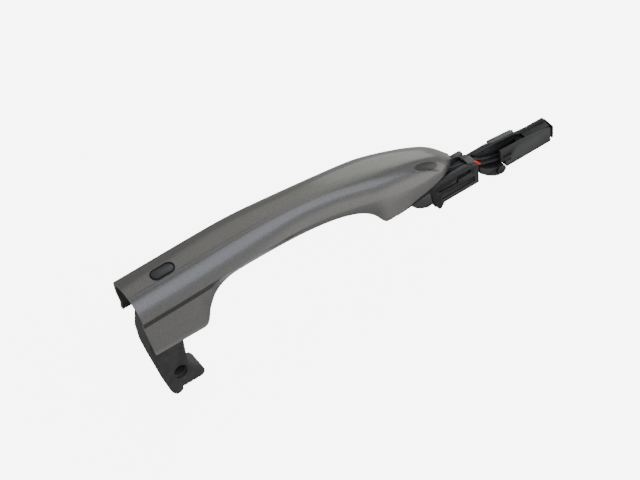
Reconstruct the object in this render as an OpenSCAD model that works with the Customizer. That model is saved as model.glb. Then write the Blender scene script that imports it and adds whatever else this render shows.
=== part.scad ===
// Pull handle for a car door, with a lock button and a keyless-entry aerial inside.
// A painted shell is closed on the finger side by an inner cover. The rear leg and the
// front bracket pass through the door skin, and the arm past the bracket carries the pivot.
// Every module is drawn in strap coordinates: X runs from the rear cut end to the nose,
// Z points out of the door from the door skin, and Y=0 is the middle plane.
// at_pivot() then moves it so that the origin is the centre of the pivot knuckle.

/* [Strap] */
// Length of the painted strap, rear cut end to nose tip
strap_len = 200; // [194:1:206]
// Height of the outer face above the door skin at the rear
strap_height = 35; // [33:0.5:37]
// Half width of the strap at its widest line, rear end
rear_half_w = 13.8; // [13.6:0.1:14.4]
// Wall of the painted shell
wall = 2.2; // [1.8:0.1:2.4]
// Length of the rear leg along the strap
rear_leg_len = 29.4; // [28.6:0.2:30.2]
// Where the front leg starts
front_leg_x = 146; // [145:0.5:147]

/* [Lock button] */
// Distance of the button's middle from the rear end
button_x = 20.2; // [19:0.2:21]
// Button length
button_len = 12.6; // [12:0.2:13.6]
// Button width
button_w = 5.6; // [5.2:0.2:6.2]
// Travel of the button
button_travel = 0.8; // [0.5:0.1:1]

/* [Arm and bracket] */
// Width of the bracket across the door
bracket_w = 18; // [17.5:0.5:18.5]
// Depth of the bracket below the door skin
bracket_depth = 19; // [18:0.5:20]
// End of the arm, measured from the rear end
arm_end_x = 266; // [265.5:0.5:270]
// Radius of the pivot knuckle
knuckle_r = 3; // [2.8:0.1:3.2]

/* [Rear leg] */
// Width of the rear leg across the door
leg_w = 20; // [19:0.5:21]
// Depth of the leg below the door skin
leg_depth = 41; // [40:0.5:42]
// Radius of the catch hole
catch_r = 3.4; // [3:0.1:3.6]

/* [Hidden] */

gap = 0.15;                       // clearance between fixed pieces
pin_near = -8.6;                  // the two ends of the pivot knuckle
pin_far = -3.2;
knuckle = [229.5, (pin_near + pin_far) / 2, -23.2];  // pivot centre in strap coordinates
flare = 0.24;                     // how far a leg's side leans out per unit of depth
nose_len = strap_len - front_leg_x;
crease_y = 4;
paint = [0.36, 0.35, 0.33];
black = [0.10, 0.10, 0.10];
dark = [0.17, 0.17, 0.17];
grey = [0.30, 0.30, 0.29];

// The strap's three lengthwise curves: height of the crown, height of the lower edge, and
// half width at the widest line.
crown_line = [[0, strap_height - 0.4], [20, strap_height + 0.2], [50, strap_height + 1.2],
    [80, strap_height + 1.4], [110, strap_height - 0.6], [140, 28.6], [165, 21.9], [182, 15.1],
    [190, 10.6], [196, 5.4], [strap_len, 1.2]];
lower_line = [[0, 0], [rear_leg_len, 0], [rear_leg_len + 3.4, 2], [rear_leg_len + 6.5, 9],
    [42.2, 17], [50.5, 21], [60, 21.8], [85, 21.6], [105, 20.1], [120, 17.6], [132, 13.3],
    [front_leg_x - 7, 7.9], [front_leg_x - 3, 2.4], [front_leg_x, 0], [strap_len, 0]];
side_line = [[0, rear_half_w], [40, rear_half_w - 0.2], [70, rear_half_w - 0.8],
    [100, 12.6], [120, 13.4], [front_leg_x, 15.4]];

function step_to(a, b, x) = let (t = min(1, max(0, (x - a) / (b - a)))) t * t * (3 - 2 * t);
function slope_at(t, i) = let (a = max(i - 1, 0), b = min(i + 1, len(t) - 1))
    (t[b][1] - t[a][1]) / (t[b][0] - t[a][0]);
function span_at(t, x, i = 0) = (i >= len(t) - 2 || x < t[i + 1][0]) ? i : span_at(t, x, i + 1);
// Smooth curve through the points of t, read at x
function curve(t, x) = let (i = span_at(t, x), h = t[i + 1][0] - t[i][0],
    s = min(1, max(0, (x - t[i][0]) / h)))
    t[i][1] * (2 * s * s * s - 3 * s * s + 1) + slope_at(t, i) * h * (s * s * s - 2 * s * s + s)
    + t[i + 1][1] * (3 * s * s - 2 * s * s * s) + slope_at(t, i + 1) * h * (s * s * s - s * s);
function mix(a, b, k) = a * (1 - k) + b * k;

function nose_scale(x, inset) =
    x <= front_leg_x ? 1 : sqrt(max(0.001, 1 - pow((x - front_leg_x) / (nose_len - inset), 2)));
function crown_z(x, inset) = max(curve(crown_line, x) - inset, 0.5);
function half_w(x, inset) = max(curve(side_line, min(x, front_leg_x)) * nose_scale(x, inset)
    - (x > front_leg_x ? inset * nose_scale(x, inset) : inset), 0.3);
function lower_z(x) = max(0, curve(lower_line, x));
function wide_z(x, inset) = let (c = crown_z(x, 0))
    max(c - min(12, 0.58 * c), lower_z(x) + 1.6) - min(inset, 0.3 * c) * 0.4;
function fold_z(x, inset) = let (w = wide_z(x, inset))
    max(crown_z(x, 0) - 17.5, lower_z(x) + 0.4 * (w - lower_z(x)));
function fold_in(x) = 0.8 * (1 - step_to(45, 110, x));
function edge_w(x, inset) = half_w(x, inset) - fold_in(x) + flare * (fold_z(x, inset) - lower_z(x));
// A shallow scoop near the nose, on the near side
function scoop(x, y) = 1.3 * exp(-pow((x - 181) / 7.5, 2)) * exp(-pow((y + 8.5) / 2.1, 2));

// One section of the strap, from the near lower edge over the crown to the far lower edge.
// An inset of 0 gives the outer skin, and the wall gives the inner one.
arch_start = 22;                  // the arch leans in from its first point, in degrees
function arch_power(x, a) = a < 90 ? 0.7
    : 0.7 - 0.16 * step_to(60, 110, x) * (1 - step_to(135, 170, x));
function arch_pt(x, a, inset) = let (w = half_w(x, inset), z0 = wide_z(x, inset),
    z1 = crown_z(x, inset), b = arch_start + (180 - 2 * arch_start) * a / 180,
    p = arch_power(x, b), c = cos(b), s0 = pow(sin(arch_start), p))
    [-w * sign(c) * pow(abs(c) / cos(arch_start), p), z0 + (z1 - z0) * (pow(sin(b), p) - s0) / (1 - s0)];
function rear_pt(x, a, inset) = let (w = half_w(x, inset), z0 = wide_z(x, inset),
    z1 = crown_z(x, inset), near = [-crease_y, z1 - 0.9], far = [10.2 - inset * 0.6, z1 - 0.6])
    a < 63 ? let (u = a / 63 * 90) [-near_y(w, u), mix(z0, near[1], sin(u) * 0.55 + u / 90 * 0.45)]
    : a < 126 ? let (u = (a - 63) / 63) [mix(near[0], far[0], u), z1 - 0.9 + 0.3 * u + 1.1 * sin(180 * u)]
    : let (u = (180 - a) / 54 * 90) [mix(w, far[0], 1 - cos(u)), mix(z0, far[1], sin(u))];
function near_y(w, u) = mix(w, crease_y, mix(1 - cos(u), u / 90, 0.45));
function sweep_pt(x, a, inset) = let (k = 1 - step_to(55, 120, x), p = arch_pt(x, a, inset),
    r = rear_pt(x, a, inset)) mix(p, r, k);
function section(x, inset, n = 13) = let (w = half_w(x, inset), f = fold_in(x),
    e = edge_w(x, inset), zl = lower_z(x), zf = fold_z(x, inset), lean = end_lean(x))
    [for (p = concat([[-e, zl], [-w + f, zf]],
        [for (i = [0:n - 1]) sweep_pt(x, 180 * i / (n - 1), inset)], [[w - f, zf], [e, zl]]))
        [x - lean * p[1] / strap_height, p[0],
         p[1] - (inset == 0 && p[1] > zf ? scoop(x, p[0]) : 0)]];
// The rear end face leans back by this much at the crown
function end_lean(x) = 2.6 * (1 - step_to(0, 40, x));

stations = concat([for (x = [0:6:24]) x], [for (x = [rear_leg_len - 1:1.5:43]) x],
    [for (x = [46:7:123]) x], [for (x = [127:1.6:front_leg_x]) x]);
nose_angles = [6:7.5:85];
outer_x = concat(stations, [for (a = nose_angles) front_leg_x + nose_len * sin(a)]);
inner_x = concat(stations, [for (a = nose_angles) front_leg_x + (nose_len - wall) * sin(a)]);

// Fixed places and heights that several pieces share
switch_z = strap_height - 5.6;    // top of the switch body
board_z = switch_z - 3.1;         // underside of the board
arm_near = -8;                    // near face of the arm
arm_far = 0;                      // far face of the arm
arm_foot = -23.7;                 // lower edge of the arm
arm_root = 211.7;                 // where the arm leaves the bracket
leg_mid = -2;                     // middle of the rear leg across the door
hook_w = 10.5;                    // width of the hook on the leg's near side
tray_z = board_z - 1.7;           // underside of the module tray
clip_low = [205.6, -9, -7];       // corners of the wire clip
clip_high = [210, -5, -1.5];
leg_posts = [[23, -7], [23, 3]];  // screws that join the leg to the cover
board_post = [58, 5.5];           // posts that carry the board
leg_post = [11, 5.5];
board_end = 62;                   // end of the board and of its tray
board_half = 8;
leg_boss_z = 5.8;                 // where the screw bosses meet the leg

// Hand-chosen routes of the two leads, board to plug
lead_d = 1.5;
red_route = [[140, -2, 13.5], [150, -2, 9], [162, -2, 4], [176, -2.6, 0.8], [190, -4.6, -2],
    [196, -6.4, -3.1], [205, -7.9, -3.9], [209.6, -7.9, -4.2], [212, -7.9, -5.8], [214, -7.7, -8.6],
    [217, -7, -11], [222, -6, -13.8], [228, -5.4, -16.2], [234, -5.2, -17], [243.4, -5.1, -16.6]];
black_route = [[140, 2, 13.5], [150, 2, 9], [162, 1.6, 4], [176, 0, 0.8], [190, -2.6, -2],
    [196, -4.4, -3.1], [205, -6.1, -3.9], [209, -6.1, -4.1], [212.4, -6, -5.4], [216, -5.2, -8.4],
    [222, -4, -12.2], [228, -3.2, -15.2], [234, -3, -16.6], [243.4, -3, -16.6]];

module at_pivot() translate(-knuckle) children();
module block(low, high) translate(low) cube(high - low);
module across(x, z, r, y0, y1, sides = 48)
    translate([x, y0, z]) rotate([-90, 0, 0]) cylinder(h = y1 - y0, r = r, $fn = sides);
// Extrude an X-Z outline across the door, from y0 to y1
module side_plate(y0, y1, pts)
    translate([0, y1, 0]) rotate([90, 0, 0]) linear_extrude(y1 - y0) polygon(pts);
module stadium(l, w) union() {
    translate([-(l - w) / 2, -w / 2]) square([l - w, w]);
    for (s = [-1, 1]) translate([s * (l - w) / 2, 0]) circle(d = w, $fn = 32);
}
module at_button(z) translate([button_x, 0.3, z]) children();

// Closed skin between an outer and an inner set of sections
module skin(outer, inner) {
    n = len(outer); m = len(outer[0]); off = n * m;
    faces = concat(
        [for (i = [0:n - 2], k = [0:m - 2]) [i * m + k, i * m + k + 1, (i + 1) * m + k + 1, (i + 1) * m + k]],
        [for (i = [0:n - 2], k = [0:m - 2])
            [off + i * m + k, off + (i + 1) * m + k, off + (i + 1) * m + k + 1, off + i * m + k + 1]],
        [for (i = [0:n - 2]) [i * m, (i + 1) * m, off + (i + 1) * m, off + i * m]],
        [for (i = [0:n - 2])
            [i * m + m - 1, off + i * m + m - 1, off + (i + 1) * m + m - 1, (i + 1) * m + m - 1]],
        [for (k = [0:m - 2]) [k, off + k, off + k + 1, k + 1]],
        [[for (k = [0:m - 1]) (n - 1) * m + k], [for (k = [m - 1:-1:0]) off + (n - 1) * m + k],
         [(n - 1) * m, (n - 1) * m + m - 1, off + (n - 1) * m + m - 1, off + (n - 1) * m]]);
    polyhedron(concat([for (s = outer) each s], [for (s = inner) each s]), faces, convexity = 8);
}

module grip_shell() at_pivot() color(paint) difference() {
    skin([for (x = outer_x) section(x, 0)], [for (x = inner_x) section(x, wall)]);
    at_button(20) linear_extrude(30) stadium(button_len + 1.6, button_w + 1.6);
    // the far side wall stops short of the rear end
    block([-10, 6, -1], [11, 22, 10]);
}

// Finger-side cover: a plate that follows the lower edge and closes the shell
cover_x = [31.4, 32.9, 34.4, 35.9, 38.8, 42.2, 46, 50.5, 60, 72, 85, 98, 110, 120, 127, 133, 138,
    141, 143.5];
cover_path = concat([[rear_leg_len - 0.2, 0.2]], [for (x = cover_x) [x, lower_z(x)]],
    [[front_leg_x - 0.2, 0.2]]);
cover_t = 2;
function path_normal(i) = let (a = cover_path[max(i - 1, 0)],
    b = cover_path[min(i + 1, len(cover_path) - 1)], d = (b - a) / norm(b - a)) [-d[1], d[0]];
function cover_half(x) = edge_w(x, wall) - gap - (x < 50 || x > 120 ? 0.5 : 0.3);
module grip_inner() at_pivot() color(black) {
    n = len(cover_path);
    pts = [for (i = [0:n - 1]) let (p = cover_path[i], q = p + cover_t * path_normal(i), w = cover_half(p[0]))
        each [[p[0], -w, p[1]], [p[0], w, p[1]], [q[0], w, q[1]], [q[0], -w, q[1]]]];
    faces = concat([for (i = [0:n - 2], k = [0:3]) [4 * i + k, 4 * (i + 1) + k,
        4 * (i + 1) + (k + 1) % 4, 4 * i + (k + 1) % 4]],
        [[0, 1, 2, 3], [for (k = [3:-1:0]) 4 * (n - 1) + k]]);
    polyhedron(pts, faces, convexity = 4);
}

// Upright post or hole at a place p = [x, y], from height z0 to z1
module post(p, z0, z1, r) translate([p[0], p[1], z0]) cylinder(h = z1 - z0, r = r, $fn = 32);
peg_r = 0.9;                      // pegs that locate the board
shoulder_r = 1.9;                 // shoulders that it sits on

// Tray under the board, with the peg that the board sits on and the two bosses for the leg screws
module module_tray() at_pivot() color(black) difference() {
    union() {
        block([20.2, -board_half, tray_z], [board_end, board_half, tray_z + 1.2]);
        post(board_post, tray_z + 1, board_z - 0.05, shoulder_r);
        post(board_post, tray_z + 1, board_z + 0.8, peg_r);
        for (p = leg_posts) post(p, leg_boss_z, tray_z + 0.1, 2.7);
    }
    for (p = leg_posts) post(p, leg_boss_z - 1, 15, 1);
}

module button_bezel() at_pivot() color(black) at_button(strap_height - 3) difference() {
    linear_extrude(3.1) stadium(button_len + 1.4, button_w + 1.4);
    translate([0, 0, -1]) linear_extrude(6) stadium(button_len + 0.5, button_w + 0.5);
}

module lock_button() at_pivot() color(dark) {
    at_button(strap_height - 1.8) linear_extrude(2.2) stadium(button_len, button_w);
    at_button(strap_height - 3.2) cylinder(h = 1.5, r = 1.6, $fn = 32);
}

module button_spring() at_pivot() color("silver") at_button(switch_z + 0.05) difference() {
    cylinder(h = 2.2, r = 2.5, $fn = 32);
    translate([0, 0, -1]) cylinder(h = 5, r = 2.1, $fn = 32);
}

module switch_body() at_pivot() color(black) at_button(board_z + 1.05) difference() {
    translate([-3, -3, 0]) cube([6, 6, switch_z - board_z - 1.05]);
    translate([0, 0, 0.4]) cylinder(h = 4, r = 1.85, $fn = 32);
}

module switch_plunger() at_pivot() color("gold") at_button(switch_z - 0.4)
    cylinder(h = 2.7, r = 1.2, $fn = 32);

board_top = board_z + 1;
module circuit_board() at_pivot() color([0.05, 0.28, 0.12]) difference() {
    block([8, -board_half, board_z], [board_end, board_half, board_top]);
    for (p = [leg_post, board_post]) post(p, board_z - 1, board_top + 1, 1);
}

// Chip, two capacitors and a coil core, all soldered on the board
module board_parts() at_pivot() color(dark) {
    block([32, -4, board_top + 0.05], [40, 4, board_top + 1.4]);
    for (x = [44, 48]) block([x, -2, board_top + 0.05], [x + 2.4, 1.5, board_top + 1.6]);
    post([54.5, 0], board_top + 0.05, board_top + 2.65, 2.4);
}

// The aerial lies beyond the board, along the falling part of the strap
module along_grip() translate([66, 0, 27.6]) rotate([0, 90 + 3, 0]) children();
module antenna_holder() at_pivot() color(dark) difference() {
    union() {
        along_grip() for (z = [0, 38]) translate([-2.8, -4, z]) cube([5.6, 8, 5]);
        block([66.4, -3, 23.95], [70, 3, 26]);
        block([104.6, -3, 22.3], [108, 3, 24]);
    }
    along_grip() translate([0, 0, -1]) cylinder(h = 60, r = 2.03, $fn = 32);
}
module ferrite_rod() at_pivot() color([0.2, 0.2, 0.2]) along_grip() cylinder(h = 44, r = 2, $fn = 32);
module antenna_coil() at_pivot() color([0.7, 0.35, 0.15]) along_grip() translate([0, 0, 8]) difference() {
    cylinder(h = 27, r = 2.7, $fn = 32);
    translate([0, 0, -1]) cylinder(h = 30, r = 2.05, $fn = 32);
}

// Touch electrode on the finger side, just above the cover
module sensor_plate() at_pivot() color([0.72, 0.45, 0.2])
    block([52, -7, 24.15], [64, 3.4, 24.45]);

// Rear leg: a moulded block inside the shell, a neck through the skin and a hook below it
leg_low = leg_mid - leg_w / 2;
leg_high = leg_mid + leg_w / 2;
catch_x = 13.2;                   // middle of the catch hole
catch_z = -29.5;
pocket_r = 3.8;                   // oval pocket round the catch hole, and its depth
pocket_t = 1.6;
// The rear face is turned a little, so that its far edge lies further forward
module leg_rear_cut() translate([0, leg_low, 0]) rotate([0, 0, -8])
    side_plate(-4, leg_w + 6, [[-12, 20], [1.6, 20], [1.2, 11], [-0.8, 0], [-0.2, -12.5], [1.9, -25],
        [5, -38], [6.4, -leg_depth - 1], [9, -leg_depth - 4.2], [-12, -leg_depth - 6]]);
module rear_leg() at_pivot() color(black) difference() {
    union() {
        side_plate(leg_low, leg_high, [[-1, 11.6], [20, 11.6], [20, 5], [18.4, 0], [18.4, -17],
            [18.4, -leg_depth], [13, -leg_depth], [12.6, -leg_depth - 2.4], [11, -leg_depth - 3.6],
            [4, -leg_depth - 3.6], [-1, -26]]);
        // hook
        side_plate(leg_low, leg_low + hook_w, [[18, -26.6], [20.8, -27.4], [22, -30.6], [24.4, -31.6],
            [26, -34.2], [27, -37.6], [26.6, -leg_depth + 1.2], [25.4, -leg_depth], [18, -leg_depth]]);
        block([4, -8, 11.5], [20, 6, 17]);
        block([18, leg_low, 0.4], [25.4, leg_high, 5.6]);
        post(leg_post, 11.9, board_z - 0.1, shoulder_r);
        post(leg_post, 12, board_z + 0.8, peg_r);
    }
    leg_rear_cut();
    // catch hole, the oval pocket round its near end, and the recess behind it
    across(catch_x, catch_z, catch_r, leg_low - 1, leg_high + 1);
    for (z = [catch_z - 0.8, catch_z + 1.6]) across(catch_x, z, pocket_r, leg_low - 1, leg_low + pocket_t);
    block([catch_x - pocket_r, leg_low - 1, catch_z - 0.8],
        [catch_x + pocket_r, leg_low + pocket_t, catch_z + 1.6]);
    block([6.5, leg_mid, -20], [15.5, leg_high + 1, 8]);
    for (p = leg_posts) post(p, 0, 12, 1.3);
}

// Ribbed rubber pad that quietens the hook
module hook_bumper() at_pivot() color([0.05, 0.05, 0.05]) {
    for (i = [0:3]) block([14.4 + 2.9 * i, leg_low + 0.8, -leg_depth - 1.4],
        [16.2 + 2.9 * i, leg_low + hook_w - 0.8, -leg_depth - 0.55]);
    block([14, leg_low + 0.6, -leg_depth - 0.6], [25, leg_low + hook_w - 0.6, -leg_depth - 0.02]);
}

module screw(l) {
    cylinder(h = 1.6, r = 2.4, $fn = 32);
    translate([0, 0, -l]) cylinder(h = l + 0.2, r = 0.98, $fn = 24);
}
module leg_screws() at_pivot() color("dimgray")
    for (p = leg_posts) translate([p[0], p[1], 0.35]) rotate([180, 0, 0]) screw(13);

// Foam pad that carries the board over the rear leg block
module leg_pad() at_pivot() color([0.08, 0.08, 0.08]) block([5, -6, 17.05], [19, 3, board_z - 0.05]);

// Front bracket: a ribbed box under the front leg
br_near = -11;
br_far = br_near + bracket_w;
br_step = -0.6;                   // where the high near half ends
bracket_end = 211.6;
screw_x = [158, 170];
screw_y = 4.4;
module bracket_side(y0, y1, top) side_plate(y0, y1, concat([[150, -1]], top,
    [[bracket_end, -bracket_depth], [181.5, -bracket_depth], [178.5, -4.5], [150, -4.5]]));
module front_bracket() at_pivot() color(black) difference() {
    union() {
        // near half carries the leads, far half is lower
        bracket_side(br_near, br_step, [[203, -1.2], [bracket_end, -5.4]]);
        bracket_side(br_step - 0.1, br_far, [[190, -1], [196, -8.2], [bracket_end, -8.6]]);
        // plug that keys into the shell
        block([152, -9, -1.1], [176, 9, 6]);
        // small locating tab
        side_plate(br_near, br_near + 3, [[182, -bracket_depth + 0.1], [188, -bracket_depth + 0.1],
            [185.6, -bracket_depth - 3.4], [184.2, -bracket_depth - 3.4]]);
    }
    // hollow, open downwards
    block([184, br_near + 2.6, -bracket_depth - 1], [bracket_end - 2, br_far - 2.4, -10.4]);
    // open trench for the leads, through the plug and on to the seat of the wire clip
    block([149, -6, -2.8], [196, 2.9, 7]);
    block([190, -9, -4.95], [clip_low[0], -1.7, 1]);
    block([clip_low[0] - gap, clip_low[1] - gap, clip_low[2] - gap], [213, clip_high[1] + gap, 1]);
    // hooked groove, obround pocket and recessed panel on the near face
    side_plate(br_near - 1, br_near + 2, [[184.6, -8.4], [196.4, -9], [196.4, -7.2], [197.6, -7.2],
        [197.6, -10.2], [184.6, -9.8]]);
    hull() for (x = [198.4, 205]) across(x, -6.6, 1.5, br_near - 1, br_near + 1.5);
    side_plate(br_near - 1, br_near + 0.8, [[185.4, -11], [208.8, -12.4], [208.8, -16.4], [186.6, -16.4]]);
    for (x = screw_x) post([x, screw_y], -10, 10, 1);
}

module bracket_screws() at_pivot() color("dimgray")
    for (x = screw_x) translate([x, screw_y, -4.65]) rotate([180, 0, 0]) screw(7);

// Thin rubber lip that seals the front leg to the door skin
rim_y = edge_w(front_leg_x, 0) - 0.6;
module gasket_rim(side, first, last, thick) {
    rim = [for (a = [first:6:last])
        [front_leg_x + 1 + (nose_len - 2.2) * cos(a), side * rim_y * sin(a)]];
    inner = [for (a = [last:-6:first])
        [front_leg_x + 1 + (nose_len - 4.6) * cos(a), side * (rim_y - 2) * sin(a)]];
    translate([0, 0, -thick]) linear_extrude(thick - 0.05) polygon(concat(rim, inner));
}
module front_gasket() at_pivot() color([0.04, 0.04, 0.04]) {
    gasket_rim(1, -84, 84, 0.5);
    // both flanks are thicker and rest on the door skin
    gasket_rim(1, 54, 84, 0.85);
    gasket_rim(-1, 54, 84, 0.85);
}

// Rounded rubber buffer under the front leg
module front_buffer() at_pivot() color([0.06, 0.06, 0.06]) difference() {
    side_plate(br_near - 1.2, -2, [[165, -4.65], [166, -7.5], [168.5, -10.5], [172, -13], [176, -14.6],
        [179.2, -14.2], [178.2, -4.65]]);
    side_plate(-7, -1, [[167, -5.6], [168, -7.6], [170.4, -9.8], [175.6, -11.6], [175.4, -5.6]]);
}

// Ribbed block that guides the handle into the carrier
module guide_block() at_pivot() color(dark) {
    block([203.4, br_step + 0.05, -8], [209, 2.2, -2.8]);
    for (i = [0:3]) block([203.7 + 1.4 * i, 2.1, -7.6], [204.4 + 1.4 * i, 2.8, -3.2]);
}

// Arm: a channel open to the near side, with the curved knee lip and the pivot knuckle
module pivot_arm() at_pivot() color(grey) {
    // far wall
    side_plate(arm_far - 1.6, arm_far, [[arm_root, -5.9], [222.7, -5.8], [226.8, -6.2], [227, -8.2],
        [243, -9.5], [247, -10.2], [253, -10.9], [265, -11.2], [arm_end_x, -12.6], [arm_end_x, -22.6],
        [265, arm_foot], [232, arm_foot], [arm_root, -10]]);
    // knee lip, its narrow root beside the leads, and its narrow end behind the knuckle
    difference() {
        side_plate(arm_near, arm_far - 1.5, [[214.8, -12.4], [219, -15.8], [223.8, -18.6], [228.2, -20.6],
            [228.2, -27], [224, -25], [219.8, -22], [214.8, -17]]);
        across(knuckle[0], knuckle[2], knuckle_r + 0.8, arm_near - 1, pin_far);
    }
    side_plate(-5.2, arm_far - 1.5, [[arm_root, -9.8], [214.9, -12.6], [214.9, -17], [arm_root, -13.4]]);
    // the knuckle, on a wider boss
    across(knuckle[0], knuckle[2], knuckle_r, pin_near, pin_far + 0.1);
    across(knuckle[0], knuckle[2], knuckle_r + 0.5, pin_far, arm_far);
    // top rail and foot rail
    side_plate(-2.4, arm_far - 1.5, [[214, -6.2], [223, -6.2], [243, -8.3], [247, -10.4], [253, -11.2],
        [264.6, -11.5], [264.6, -12.9], [253, -12.6], [246.6, -11.8], [243, -9.8], [223, -7.8], [214, -7.6]]);
    side_plate(arm_near + 1.6, arm_far - 1.5, [[233.4, -21.6], [264.8, -21.6], [264.8, arm_foot],
        [233.4, arm_foot]]);
    // roof over the plug, and cross ribs
    side_plate(arm_near + 1.5, -2.3, [[248, -11], [253, -11.6], [264.8, -12.3], [264.8, -12.95],
        [248, -12.7]]);
    for (x = [215.6, 221.8]) block([x, -2.4, -9.4], [x + 1.2, arm_far - 1.5, -7]);
}

// Near face of the arm: a snap-on plate with two short slots
module arm_cover() at_pivot() color([0.36, 0.36, 0.35]) difference() {
    side_plate(arm_near, arm_near + 1.45, [[229.4, -9.2], [243, -10], [262, -12.4], [264.8, -13.4],
        [264.8, arm_foot], [233.4, arm_foot], [232.6, -18.4], [229.4, -18.2]]);
    for (z = [-14.5, -18.6]) block([231, arm_near - 1, z - 1.1], [236.6, arm_near + 2, z]);
}

// Ribbed sliding strip on the far side of the arm
module slide_strip() at_pivot() color([0.42, 0.42, 0.40]) {
    side_plate(arm_far + 0.05, arm_far + 2, [[227.2, -7], [243.6, -8.6], [247, -13.2], [228, -12]]);
    // its upper edge lies on top of the arm's far wall
    side_plate(arm_far - 1.4, arm_far + 0.1, [[227.1, -6.3], [243.4, -8], [244.6, -9.5], [243, -9.4],
        [227.1, -8.1]]);
    for (i = [0:8]) block([229 + 2 * i, arm_far + 1.95, -11.4 - 0.1 * i],
        [229.9 + 2 * i, arm_far + 2.5, -9.4 - 0.1 * i]);
}

module arm_cap() at_pivot() color(dark)
    side_plate(arm_near + 0.2, arm_far - 0.1, [[arm_end_x + 0.05, -12.8], [arm_end_x + 1, -13.4],
        [arm_end_x + 1, -21.8], [arm_end_x + 0.05, -22.4]]);

// Plug on the end of the two leads, held inside the arm
plug_x = 243.5;
plug_len = 18.5;
plug_y = [-5.1, -3];              // the two ways of the plug
plug_z = -16.6;
module way(y, first, last, r)
    translate([first, y, plug_z]) rotate([0, 90, 0]) cylinder(h = last - first, r = r, $fn = 24);
module plug_housing() at_pivot() color(black) difference() {
    block([plug_x, -6.4, -21.3], [plug_x + plug_len, -1.7, -13.1]);
    for (y = plug_y) way(y, plug_x - 1, plug_x + plug_len + 1, 0.5);
}
module plug_terminals() at_pivot() color("gold")
    for (y = plug_y) way(y, plug_x + 0.5, plug_x + plug_len + 1, 0.46);

// Clip that holds both leads where they leave the bracket
module wire_clip() at_pivot() color([0.45, 0.48, 0.44]) difference() {
    block(clip_low, clip_high);
    block([clip_low[0] - 1, clip_low[1] + 0.3, -5.3], [clip_high[0] + 1, clip_high[1] - 0.3, -2.6]);
}

function unit(v) = v / norm(v);
// Tube with eight sides swept along a route
module lead(route, d) {
    n = len(route);
    rings = [for (i = [0:n - 1]) let (t = unit(route[min(i + 1, n - 1)] - route[max(i - 1, 0)]),
        u = unit(cross(t, [0, 0, 1])), v = cross(u, t))
        each [for (k = [0:7]) route[i] + d / 2 * (cos(45 * k) * u + sin(45 * k) * v)]];
    polyhedron(rings, concat([for (i = [0:n - 2], k = [0:7]) [8 * i + k, 8 * i + (k + 1) % 8,
        8 * (i + 1) + (k + 1) % 8, 8 * (i + 1) + k]],
        [[for (k = [7:-1:0]) k], [for (k = [0:7]) 8 * (n - 1) + k]]), convexity = 6);
}
module red_lead() at_pivot() color([0.8, 0.12, 0.05]) lead(red_route, lead_d);
module black_lead() at_pivot() color([0.03, 0.03, 0.03]) lead(black_route, lead_d);

grip_shell();
grip_inner();
button_bezel();
lock_button();
button_spring();
switch_body();
switch_plunger();
circuit_board();
board_parts();
module_tray();
antenna_holder();
ferrite_rod();
antenna_coil();
sensor_plate();
rear_leg();
hook_bumper();
leg_screws();
leg_pad();
front_bracket();
front_gasket();
front_buffer();
guide_block();
bracket_screws();
pivot_arm();
arm_cover();
slide_strip();
arm_cap();
plug_housing();
plug_terminals();
wire_clip();
red_lead();
black_lead();
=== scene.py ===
import math
import bmesh
import bpy
from mathutils import Matrix, Vector


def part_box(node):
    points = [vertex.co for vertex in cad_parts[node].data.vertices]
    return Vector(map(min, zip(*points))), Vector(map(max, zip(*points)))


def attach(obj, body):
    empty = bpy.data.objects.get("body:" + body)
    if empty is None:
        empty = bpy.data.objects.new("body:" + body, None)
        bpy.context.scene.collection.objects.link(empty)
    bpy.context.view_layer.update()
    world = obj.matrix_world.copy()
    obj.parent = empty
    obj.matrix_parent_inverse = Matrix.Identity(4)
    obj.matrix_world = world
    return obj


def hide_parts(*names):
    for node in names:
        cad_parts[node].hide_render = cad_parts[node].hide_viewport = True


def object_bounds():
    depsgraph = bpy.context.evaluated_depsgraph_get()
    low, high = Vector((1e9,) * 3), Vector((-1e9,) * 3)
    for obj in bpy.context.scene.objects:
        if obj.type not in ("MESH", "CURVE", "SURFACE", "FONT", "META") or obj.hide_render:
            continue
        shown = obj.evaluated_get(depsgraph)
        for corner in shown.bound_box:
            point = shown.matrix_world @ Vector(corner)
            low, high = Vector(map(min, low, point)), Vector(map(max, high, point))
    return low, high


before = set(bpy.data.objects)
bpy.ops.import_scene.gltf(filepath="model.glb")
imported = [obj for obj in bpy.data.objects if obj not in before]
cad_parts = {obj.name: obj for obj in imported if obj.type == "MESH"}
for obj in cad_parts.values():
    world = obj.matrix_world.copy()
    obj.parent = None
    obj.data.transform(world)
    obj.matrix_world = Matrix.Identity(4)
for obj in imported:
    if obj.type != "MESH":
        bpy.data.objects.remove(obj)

cad_low, cad_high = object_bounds()

# ---- Setting out ---------------------------------------------------------------------------
# The handle is set out in millimetres from the rear end of the strap, on the door skin line.
# x runs to the nose, y across the door, z out of the door; the circuit board gives the offset.
mm = 0.001
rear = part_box("circuit_board")[0] - Vector((8, -8, 26.3)) * mm


def at(x, y, z):
    return rear + Vector((x, y, z)) * mm


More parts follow.
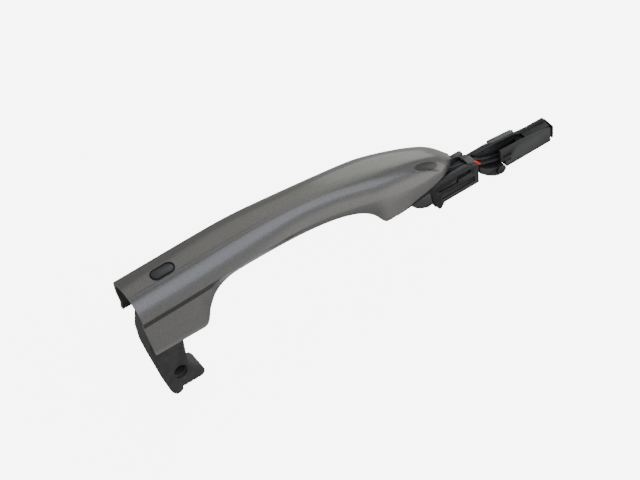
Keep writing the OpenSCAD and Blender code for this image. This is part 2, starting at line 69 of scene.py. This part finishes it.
# ---- Camera --------------------------------------------------------------------------------
# A long lens from behind the rear end, above the near side, tipped a little to the right.
turn, rise, roll = math.radians(29.5), math.radians(47.8), math.radians(7.3)
look = Vector((math.sin(turn) * math.cos(rise), math.cos(turn) * math.cos(rise), -math.sin(rise)))
level = look.cross(Vector((0, 0, 1))).normalized()
upright = level.cross(look)
right = level * math.cos(roll) - upright * math.sin(roll)
up = level * math.sin(roll) + upright * math.cos(roll)
camera = bpy.data.objects.new("camera", bpy.data.cameras.new("camera"))
bpy.context.collection.objects.link(camera)
camera.data.lens = 112.5
camera.data.sensor_width = 36
camera.data.clip_start = 0.05
camera.matrix_world = Matrix((
    (right.x, up.x, -look.x, 0),
    (right.y, up.y, -look.y, 0),
    (right.z, up.z, -look.z, 0),
    (0, 0, 0, 1)))
stand_off, slide_right, slide_down = 1.05, 0.01239, 0.00772
camera.location = at(100, 0, 14) - look * stand_off + right * slide_right - up * slide_down
bpy.context.scene.camera = camera


# ---- Painted shell -------------------------------------------------------------------------
# A moulded shell of 2.2 mm wall, painted dark grey with fine metal flake under clear lacquer.
# It carries the crease along the rear half, the tucked side band and the dimple at the nose.
wall = 2.2
strap_len = 200
front_leg = 146
nose_len = strap_len - front_leg
crown_line = [(0, 34.6), (20, 35.2), (50, 36.2), (80, 36.4), (110, 34.4), (140, 28.6),
              (165, 21.9), (182, 15.1), (190, 10.6), (196, 5.4), (strap_len, 1.2)]
lower_line = [(0, 0), (29.4, 0), (32.8, 2), (35.9, 9), (42.2, 17), (50.5, 21), (60, 21.8),
              (85, 21.6), (105, 20.1), (120, 17.6), (132, 13.3), (139, 7.9), (143, 2.4),
              (front_leg, 0), (strap_len, 0)]
side_line = [(0, 13.8), (40, 13.6), (70, 13), (100, 12.6), (120, 13.4), (front_leg, 15.4)]
# how far below the crown a section is widest, and where its side folds over into the arch
shoulder_drop, shoulder_share, fold_drop, fold_share = 12, 0.58, 17.5, 0.4
# the rounded arch of the front half
arch_start, arch_power, far_fullness = math.radians(22), 0.7, 0.16
# the creased arch of the rear half; its near side and its top take 63 degrees of the turn each
crease_y, crease_drop, groove_depth, groove_width = -4, 0.9, 0.22, 0.42
turn_y, turn_drop, top_bow = 10.2, 0.6, 1.1
near_share, flatness = 63, 0.45
# the dimple, the tucked and flared side, and the lean of the rear end
dimple_x, dimple_y, dimple_depth = 179, -9.6, 1.8
foot_tuck, waist_tuck, flare = 0.8, 1.8, 0.24
end_lean, end_height = 2.6, 35
arch_steps, side_steps, nose_steps = 132, 7, 58


def ease(a, b, x):
    t = min(1, max(0, (x - a) / (b - a)))
    return t * t * (3 - 2 * t)


def mix(a, b, k):
    return a * (1 - k) + b * k


def slope(line, i):
    "the slope of a line of points at one of them, taken from its neighbours"
    a, b = line[max(i - 1, 0)], line[min(i + 1, len(line) - 1)]
    return (b[1] - a[1]) / (b[0] - a[0])


def along(line, x):
    "the height of a smooth curve through a line of points"
    i = max(k for k in range(len(line) - 1) if k == 0 or line[k][0] <= x)
    h = line[i + 1][0] - line[i][0]
    s = min(1, max(0, (x - line[i][0]) / h))
    return (line[i][1] * (2 * s**3 - 3 * s * s + 1) + slope(line, i) * h * (s**3 - 2 * s * s + s)
            + line[i + 1][1] * (3 * s * s - 2 * s**3) + slope(line, i + 1) * h * (s**3 - s * s))


def nose_scale(x, inset):
    if x <= front_leg:
        return 1
    return math.sqrt(max(0.001, 1 - ((x - front_leg) / (nose_len - inset)) ** 2))


def crown(x, inset):
    return max(along(crown_line, x) - inset, 0.5)


def half_width(x, inset):
    taper = nose_scale(x, inset)
    return max(along(side_line, min(x, front_leg)) * taper - inset * taper, 0.3)


def lower(x):
    return max(0, along(lower_line, x))


def widest(x, inset):
    "the height at which the section is widest"
    c = crown(x, 0)
    shoulder = max(c - min(shoulder_drop, shoulder_share * c), lower(x) + 1.6)
    return shoulder - min(inset, 0.3 * c) * 0.4


def fold(x, inset):
    "the height at which the side band folds over into the arch"
    low = lower(x)
    return max(crown(x, 0) - fold_drop, low + fold_share * (widest(x, inset) - low))


def round_arch(x, angle, inset):
    w, z0, z1 = half_width(x, inset), widest(x, inset), crown(x, inset)
    # the arch starts leaning in already, so that it runs on from the flared side
    angle = arch_start + (math.pi - 2 * arch_start) * angle / math.pi
    power = arch_power
    if angle >= math.pi / 2:
        # the far side is fuller where the strap turns down to the nose
        power -= far_fullness * ease(60, 110, x) * (1 - ease(135, 170, x))
    c, s, s0 = math.cos(angle), math.sin(angle), math.sin(arch_start) ** power
    y = -w * math.copysign((abs(c) / math.cos(arch_start)) ** power, c)
    return y, z0 + (z1 - z0) * (s ** power - s0) / (1 - s0)


def creased_arch(x, angle, inset):
    w, z0, z1 = half_width(x, inset), widest(x, inset), crown(x, inset)
    part = math.degrees(angle)
    crease_z, far_y, far_z = z1 - crease_drop, turn_y - inset * 0.6, z1 - turn_drop
    if part < near_share:
        # the near side, up to the crease
        u = part / near_share
        quarter = u * math.pi / 2
        y = mix(-w, crease_y, mix(1 - math.cos(quarter), u, flatness))
        return y, mix(z0, crease_z, mix(math.sin(quarter), u, flatness))
    if part < 2 * near_share:
        # the bowed top band, from the crease to where the far side turns down
        u = (part - near_share) / near_share
        z = crease_z + (crease_drop - turn_drop) * u + top_bow * math.sin(math.pi * u)
        return mix(crease_y, far_y, u), z
    # the far side, from its foot up to the turn
    quarter = (180 - part) / (180 - 2 * near_share) * math.pi / 2
    return mix(w, far_y, 1 - math.cos(quarter)), mix(z0, far_z, math.sin(quarter))


def dimple(x, y):
    "a long hollow beside the nose, steep on its outer side"
    reach = 9.0 if x < dimple_x else 10.0
    lean = 2.0 if y > dimple_y else 0.75
    across = math.exp(-((y - dimple_y) / lean) ** 2)
    return dimple_depth * math.exp(-abs((x - dimple_x) / reach) ** 3) * across


def crease_groove(x, y):
    across = math.exp(-((y - crease_y) / groove_width) ** 2)
    return groove_depth * across * (1 - ease(60, 110, x))


def shell_ring(x, inset):
    "one section of the shell, from the near lower edge over the crown to the far one"
    w, low, knee = half_width(x, inset), lower(x), fold(x, inset)
    tuck = 1 - ease(45, 110, x)
    foot = w - foot_tuck * tuck + flare * (knee - low)
    straight = mix(foot, w, (knee - low) / (widest(x, inset) - low))
    waist = mix(straight, w - waist_tuck, tuck)
    blend = 1 - ease(55, 120, x)
    shares = [k / side_steps for k in range(side_steps + 1)]
    side = [(mix(foot, waist, share), mix(low, knee, share)) for share in shares]
    ring = [(-y, z) for y, z in side]
    for k in range(arch_steps + 1):
        angle = math.pi * k / arch_steps
        a, b = round_arch(x, angle, inset), creased_arch(x, angle, inset)
        ring.append((mix(a[0], b[0], blend), mix(a[1], b[1], blend)))
    ring += [(y, z) for y, z in reversed(side)]
    lean = end_lean * (1 - ease(0, 40, x)) / end_height
    shaped = []
    for y, z in ring:
        dip = dimple(x, y) + crease_groove(x, y) if inset == 0 and z > knee else 0
        point = at(x - lean * z, y, z - dip)
        # no point may stand outside the box that the CAD solids fill
        shaped.append(Vector([min(max(v, a), b) for v, a, b in zip(point, cad_low, cad_high)]))
    return shaped


weld_gap = 0.004 * mm
sharp_edge = math.radians(32)


def piece_from(name, build):
    "turns a mesh under construction into an object that is smooth but for its sharp edges"
    made = bpy.data.objects.new(name, bpy.data.meshes.new(name))
    build.normal_update()
    build.to_mesh(made.data)
    build.free()
    bpy.context.collection.objects.link(made)
    made.data.shade_smooth()
    made.data.set_sharp_from_angle(angle=sharp_edge)
    return made


def settle(made):
    "applies the piece's modifiers to its mesh"
    changed = made.evaluated_get(bpy.context.evaluated_depsgraph_get())
    ready = bpy.data.meshes.new_from_object(changed)
    made.modifiers.clear()
    made.data = ready
    made.data.name = made.name
    made.data.shade_smooth()
    made.data.set_sharp_from_angle(angle=sharp_edge)


def cut(made, cutter):
    carve = made.modifiers.new("cut", "BOOLEAN")
    carve.operation = "DIFFERENCE"
    carve.solver = "EXACT"
    carve.object = cutter
    settle(made)
    bpy.data.objects.remove(cutter)


def finish_piece(made, material, slot, *nodes, body="handle"):
    made.data.materials.clear()
    made.data.materials.append(material)
    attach(made, body)
    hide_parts(*nodes)


def obround(length, width):
    "a slot's outline: two half circles joined by straight sides"
    steps = 24
    outline = []
    for k in range(2 * steps + 2):
        angle = math.pi * (k if k <= steps else k - 1) / steps - math.pi / 2
        middle = (length - width) / 2 if k <= steps else (width - length) / 2
        outline.append((middle + width / 2 * math.cos(angle), width / 2 * math.sin(angle)))
    return outline


def prism(name, outline, low, high, place):
    "outline is a list of (a, b); place turns (a, b, height) into a point"
    build = bmesh.new()
    bottom = [build.verts.new(place(a, b, low)) for a, b in outline]
    top = [build.verts.new(place(a, b, high)) for a, b in outline]
    count = len(outline)
    build.faces.new(bottom)
    build.faces.new(top[::-1])
    for k in range(count):
        build.faces.new((bottom[k], top[k], top[(k + 1) % count], bottom[(k + 1) % count]))
    bmesh.ops.recalc_face_normals(build, faces=build.faces)
    return piece_from(name, build)


def side_on(x, z, y):
    "places an outline that is drawn in x and z, with its height across the door"
    return at(x, y, z)


class Nodes:
    "a small way to write a node material line by line"

    def __init__(self, name):
        self.material = bpy.data.materials.new(name)
        self.material.use_nodes = True
        self.tree = self.material.node_tree
        self.shader = self.tree.nodes["Principled BSDF"]
        self.place = self.add("ShaderNodeTexCoord").outputs["Object"]

    def add(self, kind, **settings):
        node = self.tree.nodes.new(kind)
        for key, value in settings.items():
            setattr(node, key, value)
        return node

    def join(self, source, target):
        self.tree.links.new(source, target)

    def noise(self, scale, detail=4, roughness=0.55):
        node = self.add("ShaderNodeTexNoise")
        node.inputs["Scale"].default_value = scale
        node.inputs["Detail"].default_value = detail
        node.inputs["Roughness"].default_value = roughness
        self.join(self.place, node.inputs["Vector"])
        return node.outputs["Fac"]

    def cells(self, scale):
        node = self.add("ShaderNodeTexVoronoi")
        node.inputs["Scale"].default_value = scale
        self.join(self.place, node.inputs["Vector"])
        return node

    def spread(self, value, low, high, start=0.0, end=1.0):
        node = self.add("ShaderNodeMapRange")
        limits = {"From Min": start, "From Max": end, "To Min": low, "To Max": high}
        for key, number in limits.items():
            node.inputs[key].default_value = number
        self.join(value, node.inputs["Value"])
        return node.outputs["Result"]

    def tint(self, factor, first, second):
        node = self.add("ShaderNodeMix", data_type="RGBA")
        self.join(factor, node.inputs["Factor"])
        for key, colour in ((6, first), (7, second)):
            if hasattr(colour, "is_linked"):
                self.join(colour, node.inputs[key])
            else:
                node.inputs[key].default_value = (*colour, 1)
        return node.outputs[2]

    def bump(self, height, strength, distance, under=None):
        node = self.add("ShaderNodeBump")
        node.inputs["Strength"].default_value = strength
        node.inputs["Distance"].default_value = distance
        self.join(height, node.inputs["Height"])
        if under:
            self.join(under, node.inputs["Normal"])
        return node.outputs["Normal"]

    def give(self, **sockets):
        for key, value in sockets.items():
            socket = self.shader.inputs[key.replace("_", " ")]
            if hasattr(value, "is_linked"):
                self.join(value, socket)
            else:
                socket.default_value = value
        return self.material


def flake_paint():
    n = Nodes("grey_flake_paint")
    flakes = n.cells(2600)
    shade = n.spread(flakes.outputs["Color"], 0.0, 1.0)
    base = n.tint(shade, (0.132, 0.128, 0.120), (0.196, 0.192, 0.182))
    cloud = n.spread(n.noise(60), 0.0, 0.35, 0.35, 0.65)
    base = n.tint(cloud, base, (0.150, 0.152, 0.142))
    edge = n.spread(n.add("ShaderNodeNewGeometry").outputs["Pointiness"], 0.0, 0.55, 0.53, 0.62)
    base = n.tint(edge, base, (0.34, 0.34, 0.33))
    # painted shade: a spherical mask darkens the paint to near black inside the dimple near the
    # nose, standing in for the shadow in its hollow
    dimple_shade_place = n.add("ShaderNodeMapping", vector_type="TEXTURE")
    dimple_shade_place.inputs["Location"].default_value = at(dimple_x + 0.6, dimple_y + 1, 14.2)
    dimple_shade_place.inputs["Scale"].default_value = Vector((10.6, 1.9, 8.0)) * mm
    n.join(n.place, dimple_shade_place.inputs["Vector"])
    middle = n.add("ShaderNodeTexGradient", gradient_type="SPHERICAL")
    n.join(dimple_shade_place.outputs["Vector"], middle.inputs["Vector"])
    streak_tone_and_dimple_shade = n.spread(middle.outputs["Fac"], 0.0, 0.85, 0.0, 0.22)
    base = n.tint(streak_tone_and_dimple_shade, base, (0.030, 0.028, 0.026))
    grain = n.bump(shade, 0.05, 0.00005)
    orange_peel = n.bump(n.noise(420, 2), 0.05, 0.0001)
    rough = n.spread(n.noise(900, 3), 0.38, 0.46)
    return n.give(Base_Color=base, Metallic=0.72, Roughness=rough, Normal=grain,
                  Coat_Normal=orange_peel, Coat_Weight=0.75, Coat_Roughness=0.16, Coat_IOR=1.5)


# the sections stand closest at the rear edge, round the button and towards the nose's tip
stations = [0, 0.25, 0.6] + [1 + 0.9 * k for k in range(8)] + [8.2 + 0.5 * k for k in range(75)]
stations += [46 + 1.5 * k for k in range(67)]
nose_angles = [math.pi / 2 * (k / nose_steps) for k in range(1, nose_steps)]
outer_x = stations + [front_leg + nose_len * math.sin(a) for a in nose_angles]
inner_x = stations + [front_leg + (nose_len - wall) * math.sin(a) for a in nose_angles]
build = bmesh.new()
outer = [[build.verts.new(p) for p in shell_ring(x, 0)] for x in outer_x]
inner = [[build.verts.new(p) for p in shell_ring(x, wall)] for x in inner_x]
for skin, order in ((outer, 1), (inner, -1)):
    for a, b in zip(skin, skin[1:]):
        for k in range(len(a) - 1):
            build.faces.new((a[k], a[k + 1], b[k + 1], b[k])[::order])
for k in (0, -1):
    for a, b, c, d in zip(outer, outer[1:], inner[1:], inner):
        build.faces.new((a[k], b[k], c[k], d[k]))
for end in (0, -1):
    a, b = outer[end], inner[end]
    for k in range(len(a) - 1):
        build.faces.new((a[k], a[k + 1], b[k + 1], b[k]))
bmesh.ops.remove_doubles(build, verts=build.verts, dist=weld_gap)
bmesh.ops.recalc_face_normals(build, faces=build.faces)
shell = piece_from("painted_shell", build)
# the hole leaves room for the rubber ring round the button; the notch opens the far rear side
button_x, button_y, button_length, button_width, bezel_room = 20.2, 0.3, 12.6, 5.6, 1.6
hole_bottom, hole_top = 20, 50
button_hole = obround(button_length + bezel_room, button_width + bezel_room)
cut(shell, prism("button_hole", button_hole, hole_bottom, hole_top,
                 lambda x, y, z: at(button_x + x, button_y + y, z)))
rear_notch = [(-10, -1), (11, -1), (11, 10), (-10, 10)]
notch_start, notch_end = 6, 22
cut(shell, prism("rear_notch", rear_notch, notch_start, notch_end, side_on))
finish_piece(shell, flake_paint(), "paint_grey", "grip_shell")


# ---- Softened mouldings --------------------------------------------------------------------
# Every moulded plastic piece has small radii on its edges. Each one is taken from its CAD solid,
# its flat faces are joined up, and its edges are rounded by a few tenths of a millimetre.
def softened(node, radius, segments=2):
    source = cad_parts[node].data
    build = bmesh.new()
    build.from_mesh(source)
    bmesh.ops.remove_doubles(build, verts=build.verts, dist=weld_gap)
    bmesh.ops.dissolve_limit(build, angle_limit=math.radians(2),
                             verts=build.verts, edges=build.edges)
    made = piece_from(node + "_moulding", build)
    bevel = made.modifiers.new("radius", "BEVEL")
    bevel.width = radius * mm
    bevel.segments = segments
    bevel.limit_method = "ANGLE"
    bevel.angle_limit = math.radians(28)
    bevel.use_clamp_overlap = True
    settle(made)
    return made


def moulded(name, dark, light, rough=0.5, grain=0.5, specular=0.5):
    n = Nodes(name)
    cloud = n.spread(n.noise(180), 0.0, 1.0, 0.35, 0.65)
    base = n.tint(cloud, dark, light)
    edge = n.spread(n.add("ShaderNodeNewGeometry").outputs["Pointiness"], 0.0, 0.6, 0.52, 0.60)
    base = n.tint(edge, base, tuple(min(1, v * 2.2 + 0.02) for v in light))
    leather = n.bump(n.noise(2400, 3), grain * 0.3, 0.00006)
    flow = n.bump(n.noise(300, 2), grain * 0.15, 0.0001, leather)
    return n.give(Base_Color=base, Roughness=n.spread(n.noise(700, 3), rough - 0.07, rough + 0.07),
                  Normal=flow, Specular_IOR_Level=specular)


black_nylon = moulded("black_nylon", (0.014, 0.014, 0.014), (0.024, 0.024, 0.024), 0.46,
                      specular=0.4)
# the rear leg gets a lighter dark-grey nylon than the other black mouldings
lighter_leg_nylon = moulded("lighter_leg_nylon", (0.042, 0.041, 0.040), (0.062, 0.061, 0.059), 0.5,
                     specular=0.4)
grey_nylon = moulded("grey_nylon", (0.058, 0.059, 0.058), (0.085, 0.086, 0.084), 0.48)
dark_nylon = moulded("dark_nylon", (0.034, 0.035, 0.036), (0.052, 0.053, 0.054), 0.48)
soft_rubber = moulded("soft_rubber", (0.010, 0.010, 0.010), (0.018, 0.018, 0.018), 0.72, 1.0, 0.35)

# ---- Finger-side cover ---------------------------------------------------------------------
# A black moulded cover that closes the shell on the side the fingers pull on.
finish_piece(softened("grip_inner", 0.3), black_nylon, "black_plastic", "grip_inner")

# ---- Lock button ---------------------------------------------------------------------------
# A rubber ring lines the hole, and the grey button stands just proud of it with a soft edge.
finish_piece(softened("button_bezel", 0.15), soft_rubber, "rubber", "button_bezel")
button_plastic = moulded("button_plastic", (0.030, 0.031, 0.033), (0.042, 0.043, 0.046), 0.4, 0.3)
finish_piece(softened("lock_button", 0.5, segments=4), button_plastic, "button_plastic",
             "lock_button", body="button")

# ---- Electronics ---------------------------------------------------------------------------
# Board, switch, aerial and touch foil inside the strap. They keep their CAD shapes, and so do
# the other hidden pieces that get a material here: the screws, the foam pad and the plug's pins.
def metal(name, colour, rough):
    n = Nodes(name)
    streak = n.noise(900, 5)
    streak_tone_and_dimple_shade = tuple(v * 0.82 for v in colour)
    base = n.tint(n.spread(streak, 0.0, 1.0, 0.3, 0.7), streak_tone_and_dimple_shade, colour)
    uneven = n.spread(streak, rough - 0.08, rough + 0.1)
    return n.give(Base_Color=base, Metallic=1.0, Roughness=uneven,
                  Normal=n.bump(streak, 0.15, 0.00004))


spring_steel = metal("spring_steel", (0.62, 0.62, 0.61), 0.28)
zinc = metal("zinc_plate", (0.50, 0.50, 0.52), 0.36)
brass = metal("brass", (0.78, 0.57, 0.22), 0.3)
copper = metal("enamelled_copper", (0.60, 0.26, 0.11), 0.32)
foil = metal("copper_foil", (0.66, 0.40, 0.20), 0.38)
solder_mask = moulded("solder_mask", (0.016, 0.10, 0.04), (0.022, 0.13, 0.055), 0.3, 0.2)
epoxy = moulded("chip_epoxy", (0.022, 0.022, 0.022), (0.034, 0.034, 0.034), 0.55)
ferrite = moulded("ferrite", (0.05, 0.05, 0.055), (0.075, 0.075, 0.08), 0.62, 1.0)
foam = moulded("foam", (0.020, 0.020, 0.020), (0.036, 0.036, 0.036), 0.9, 2.0, 0.2)
for node, material in (
        ("button_spring", spring_steel), ("switch_body", epoxy), ("switch_plunger", brass),
        ("circuit_board", solder_mask), ("board_parts", epoxy), ("module_tray", black_nylon),
        ("antenna_holder", black_nylon), ("ferrite_rod", ferrite), ("antenna_coil", copper),
        ("sensor_plate", foil), ("leg_pad", foam), ("leg_screws", zinc), ("bracket_screws", zinc),
        ("plug_terminals", brass)):
    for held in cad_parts[node].material_slots:
        held.material = material

# ---- Rear leg ------------------------------------------------------------------------------
# A black moulding keyed into the shell; it goes through the door skin and ends in a hook.
finish_piece(softened("rear_leg", 0.45, segments=3), lighter_leg_nylon, "black_plastic", "rear_leg")
finish_piece(softened("hook_bumper", 0.2), soft_rubber, "rubber", "hook_bumper")

# ---- Front bracket -------------------------------------------------------------------------
# A ribbed black box screwed under the front leg, with a rubber lip, a buffer and a guide block.
finish_piece(softened("front_bracket", 0.3), black_nylon, "black_plastic", "front_bracket")
finish_piece(softened("front_gasket", 0.15), soft_rubber, "rubber", "front_gasket")
finish_piece(softened("front_buffer", 0.8, segments=4), dark_nylon, "rubber", "front_buffer")
finish_piece(softened("guide_block", 0.2), dark_nylon, "grey_plastic", "guide_block")

# ---- Pivot arm -----------------------------------------------------------------------------
# A channel that reaches into the door, with the knee lip and the knuckle that the handle swings
# on. A thin web fills the corner between the arm's root and the knee.
finish_piece(softened("pivot_arm", 0.3), black_nylon, "black_plastic", "pivot_arm")
arm_nylon = moulded("arm_nylon", (0.020, 0.020, 0.020), (0.032, 0.032, 0.032), 0.5, specular=0.4)
finish_piece(softened("arm_cover", 0.25), arm_nylon, "grey_plastic", "arm_cover")
finish_piece(softened("slide_strip", 0.15), grey_nylon, "grey_plastic", "slide_strip")
finish_piece(softened("arm_cap", 0.2), black_nylon, "black_plastic", "arm_cap")
finish_piece(softened("plug_housing", 0.3), black_nylon, "black_plastic", "plug_housing")
finish_piece(softened("wire_clip", 0.2), grey_nylon, "grey_plastic", "wire_clip")
root_web = [(211.8, -9.5), (226, -19.5), (228, -23.5), (222, -22.5), (214.9, -17), (211.8, -13.2)]
web_near, web_far = -1.55, -0.05
finish_piece(prism("root_web", root_web, web_near, web_far, side_on),
             black_nylon, "black_plastic", "pivot_arm")

# ---- Leads ---------------------------------------------------------------------------------
# Two insulated wires run from the board through the bracket and the clip to the plug in the arm.
# Thin black sleeves guard the red one inside the bracket and from the knee of the arm on.
lead_d = 1.5
sleeve_d = lead_d + 0.4
red_route = [
    (140, -2, 13.5), (150, -2, 9), (162, -2, 4), (176, -2.6, 0.8), (190, -4.6, -2),
    (196, -6.4, -3.1), (205, -7.9, -3.9), (209.6, -7.9, -4.2), (212, -7.9, -5.8),
    (214, -7.7, -8.6), (217, -7, -11), (222, -6, -13.8), (228, -5.4, -16.2),
    (234, -5.2, -17), (243.4, -5.1, -16.6)]
black_route = [
    (140, 2, 13.5), (150, 2, 9), (162, 1.6, 4), (176, 0, 0.8), (190, -2.6, -2),
    (196, -4.4, -3.1), (205, -6.1, -3.9), (209, -6.1, -4.1), (212.4, -6, -5.4),
    (216, -5.2, -8.4), (222, -4, -12.2), (228, -3.2, -15.2), (234, -3, -16.6),
    (243.4, -3, -16.6)]


def lead(name, route, thick, material, slot, node):
    "draws a smooth round wire of the given thickness along its route"
    curve = bpy.data.curves.new(name, "CURVE")
    curve.dimensions = "3D"
    curve.bevel_depth = thick / 2 * mm
    curve.bevel_resolution = 4
    curve.resolution_u = 8
    curve.use_fill_caps = True
    line = curve.splines.new("BEZIER")
    line.bezier_points.add(len(route) - 1)
    for knot, place in zip(line.bezier_points, route):
        knot.co = at(*place)
        knot.handle_left_type = knot.handle_right_type = "AUTO"
    drawn = bpy.data.objects.new(name + "_line", curve)
    bpy.context.collection.objects.link(drawn)
    bpy.context.view_layer.update()
    ready = drawn.evaluated_get(bpy.context.evaluated_depsgraph_get())
    made = bpy.data.objects.new(name, bpy.data.meshes.new_from_object(ready))
    bpy.context.collection.objects.link(made)
    bpy.data.objects.remove(drawn)
    made.data.shade_smooth()
    finish_piece(made, material, slot, node)


red_pvc = moulded("red_pvc", (0.62, 0.030, 0.012), (0.72, 0.045, 0.018), 0.36, 0.3)
black_pvc = moulded("black_pvc", (0.014, 0.014, 0.014), (0.022, 0.022, 0.022), 0.36, 0.3)
lead("red_wire", red_route, lead_d, red_pvc, "red_cable", "red_lead")
lead("black_wire", black_route, lead_d, black_pvc, "black_cable", "black_lead")
lead("wire_sleeve", [(215, -7.5, -9.6)] + red_route[10:14] + [(242.4, -5.1, -16.65)], sleeve_d,
     soft_rubber, "red_cable", "red_lead")
lead("strap_sleeve", red_route[2:6] + [(200.6, -7.3, -3.6), (205.2, -7.9, -3.9)], sleeve_d,
     soft_rubber, "red_cable", "red_lead")


# ---- Floor and light -----------------------------------------------------------------------
# A plain white floor under the handle, with soft light from above and a grey surround.
def floor_white():
    n = Nodes("white_floor")
    base = n.tint(n.spread(n.noise(6), 0.0, 1.0, 0.4, 0.6), (0.86, 0.86, 0.86), (0.88, 0.88, 0.88))
    return n.give(Base_Color=base, Roughness=0.9, Emission_Color=(1, 1, 1, 1),
                  Emission_Strength=6.5)


build = bmesh.new()
bmesh.ops.create_grid(build, x_segments=8, y_segments=8, size=6)
floor = piece_from("floor", build)
floor.location = (0, 0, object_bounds()[0].z - 0.001)
floor.data.materials.append(floor_white())
floor.visible_diffuse = False
floor.visible_glossy = False
floor.visible_shadow = False


def softbox(name, aim, direction, distance, size, power, colour):
    light = bpy.data.lights.new(name, "AREA")
    light.shape = "RECTANGLE"
    light.size, light.size_y = size
    light.energy = power
    light.color = colour
    lamp = bpy.data.objects.new(name, light)
    bpy.context.collection.objects.link(lamp)
    toward = Vector(direction).normalized()
    lamp.location = aim + toward * distance
    lamp.rotation_mode = "QUATERNION"
    lamp.rotation_quaternion = toward.to_track_quat("Z", "Y")


middle = at(120, 0, 15)
softbox("window", middle, (0.26, -0.68, 0.72), 1.3, (1.8, 0.95), 10, (0.80, 0.84, 1.0))
softbox("ceiling", at(215, 0, 15), (0.2, 0.35, 1), 0.5, (0.5, 0.5), 0.62, (1.0, 0.99, 0.95))
softbox("far_wall", middle, (0.9, 0.62, 0.42), 1.4, (0.8, 0.7), 3, (0.93, 1.0, 0.93))
softbox("low_front", at(170, 0, 10), (0.62, -0.72, -0.26), 0.8, (0.8, 0.5), 1.3, (1.0, 0.99, 0.96))

world = bpy.data.worlds.new("studio")
bpy.context.scene.world = world
world.use_nodes = True
sky = world.node_tree
height = sky.nodes.new("ShaderNodeSeparateXYZ")
ramp = sky.nodes.new("ShaderNodeValToRGB")
spot = sky.nodes.new("ShaderNodeTexCoord")
lift = sky.nodes.new("ShaderNodeMapRange")
lift.inputs["From Min"].default_value = -1
sky.links.new(spot.outputs["Generated"], height.inputs[0])
sky.links.new(height.outputs["Z"], lift.inputs["Value"])
sky.links.new(lift.outputs["Result"], ramp.inputs["Fac"])
# grey values of the surround, from straight down to straight up
stops = [(0.0, 0.02), (0.08, 0.03), (0.16, 0.27), (0.32, 0.60), (0.52, 0.58), (0.66, 0.42),
         (0.82, 0.23), (1.0, 0.21)]
for place, _ in stops[1:-1]:
    ramp.color_ramp.elements.new(place)
for element, (_, value) in zip(ramp.color_ramp.elements, stops):
    element.color = (value, value, value, 1)
sky.links.new(ramp.outputs["Color"], sky.nodes["Background"].inputs["Color"])
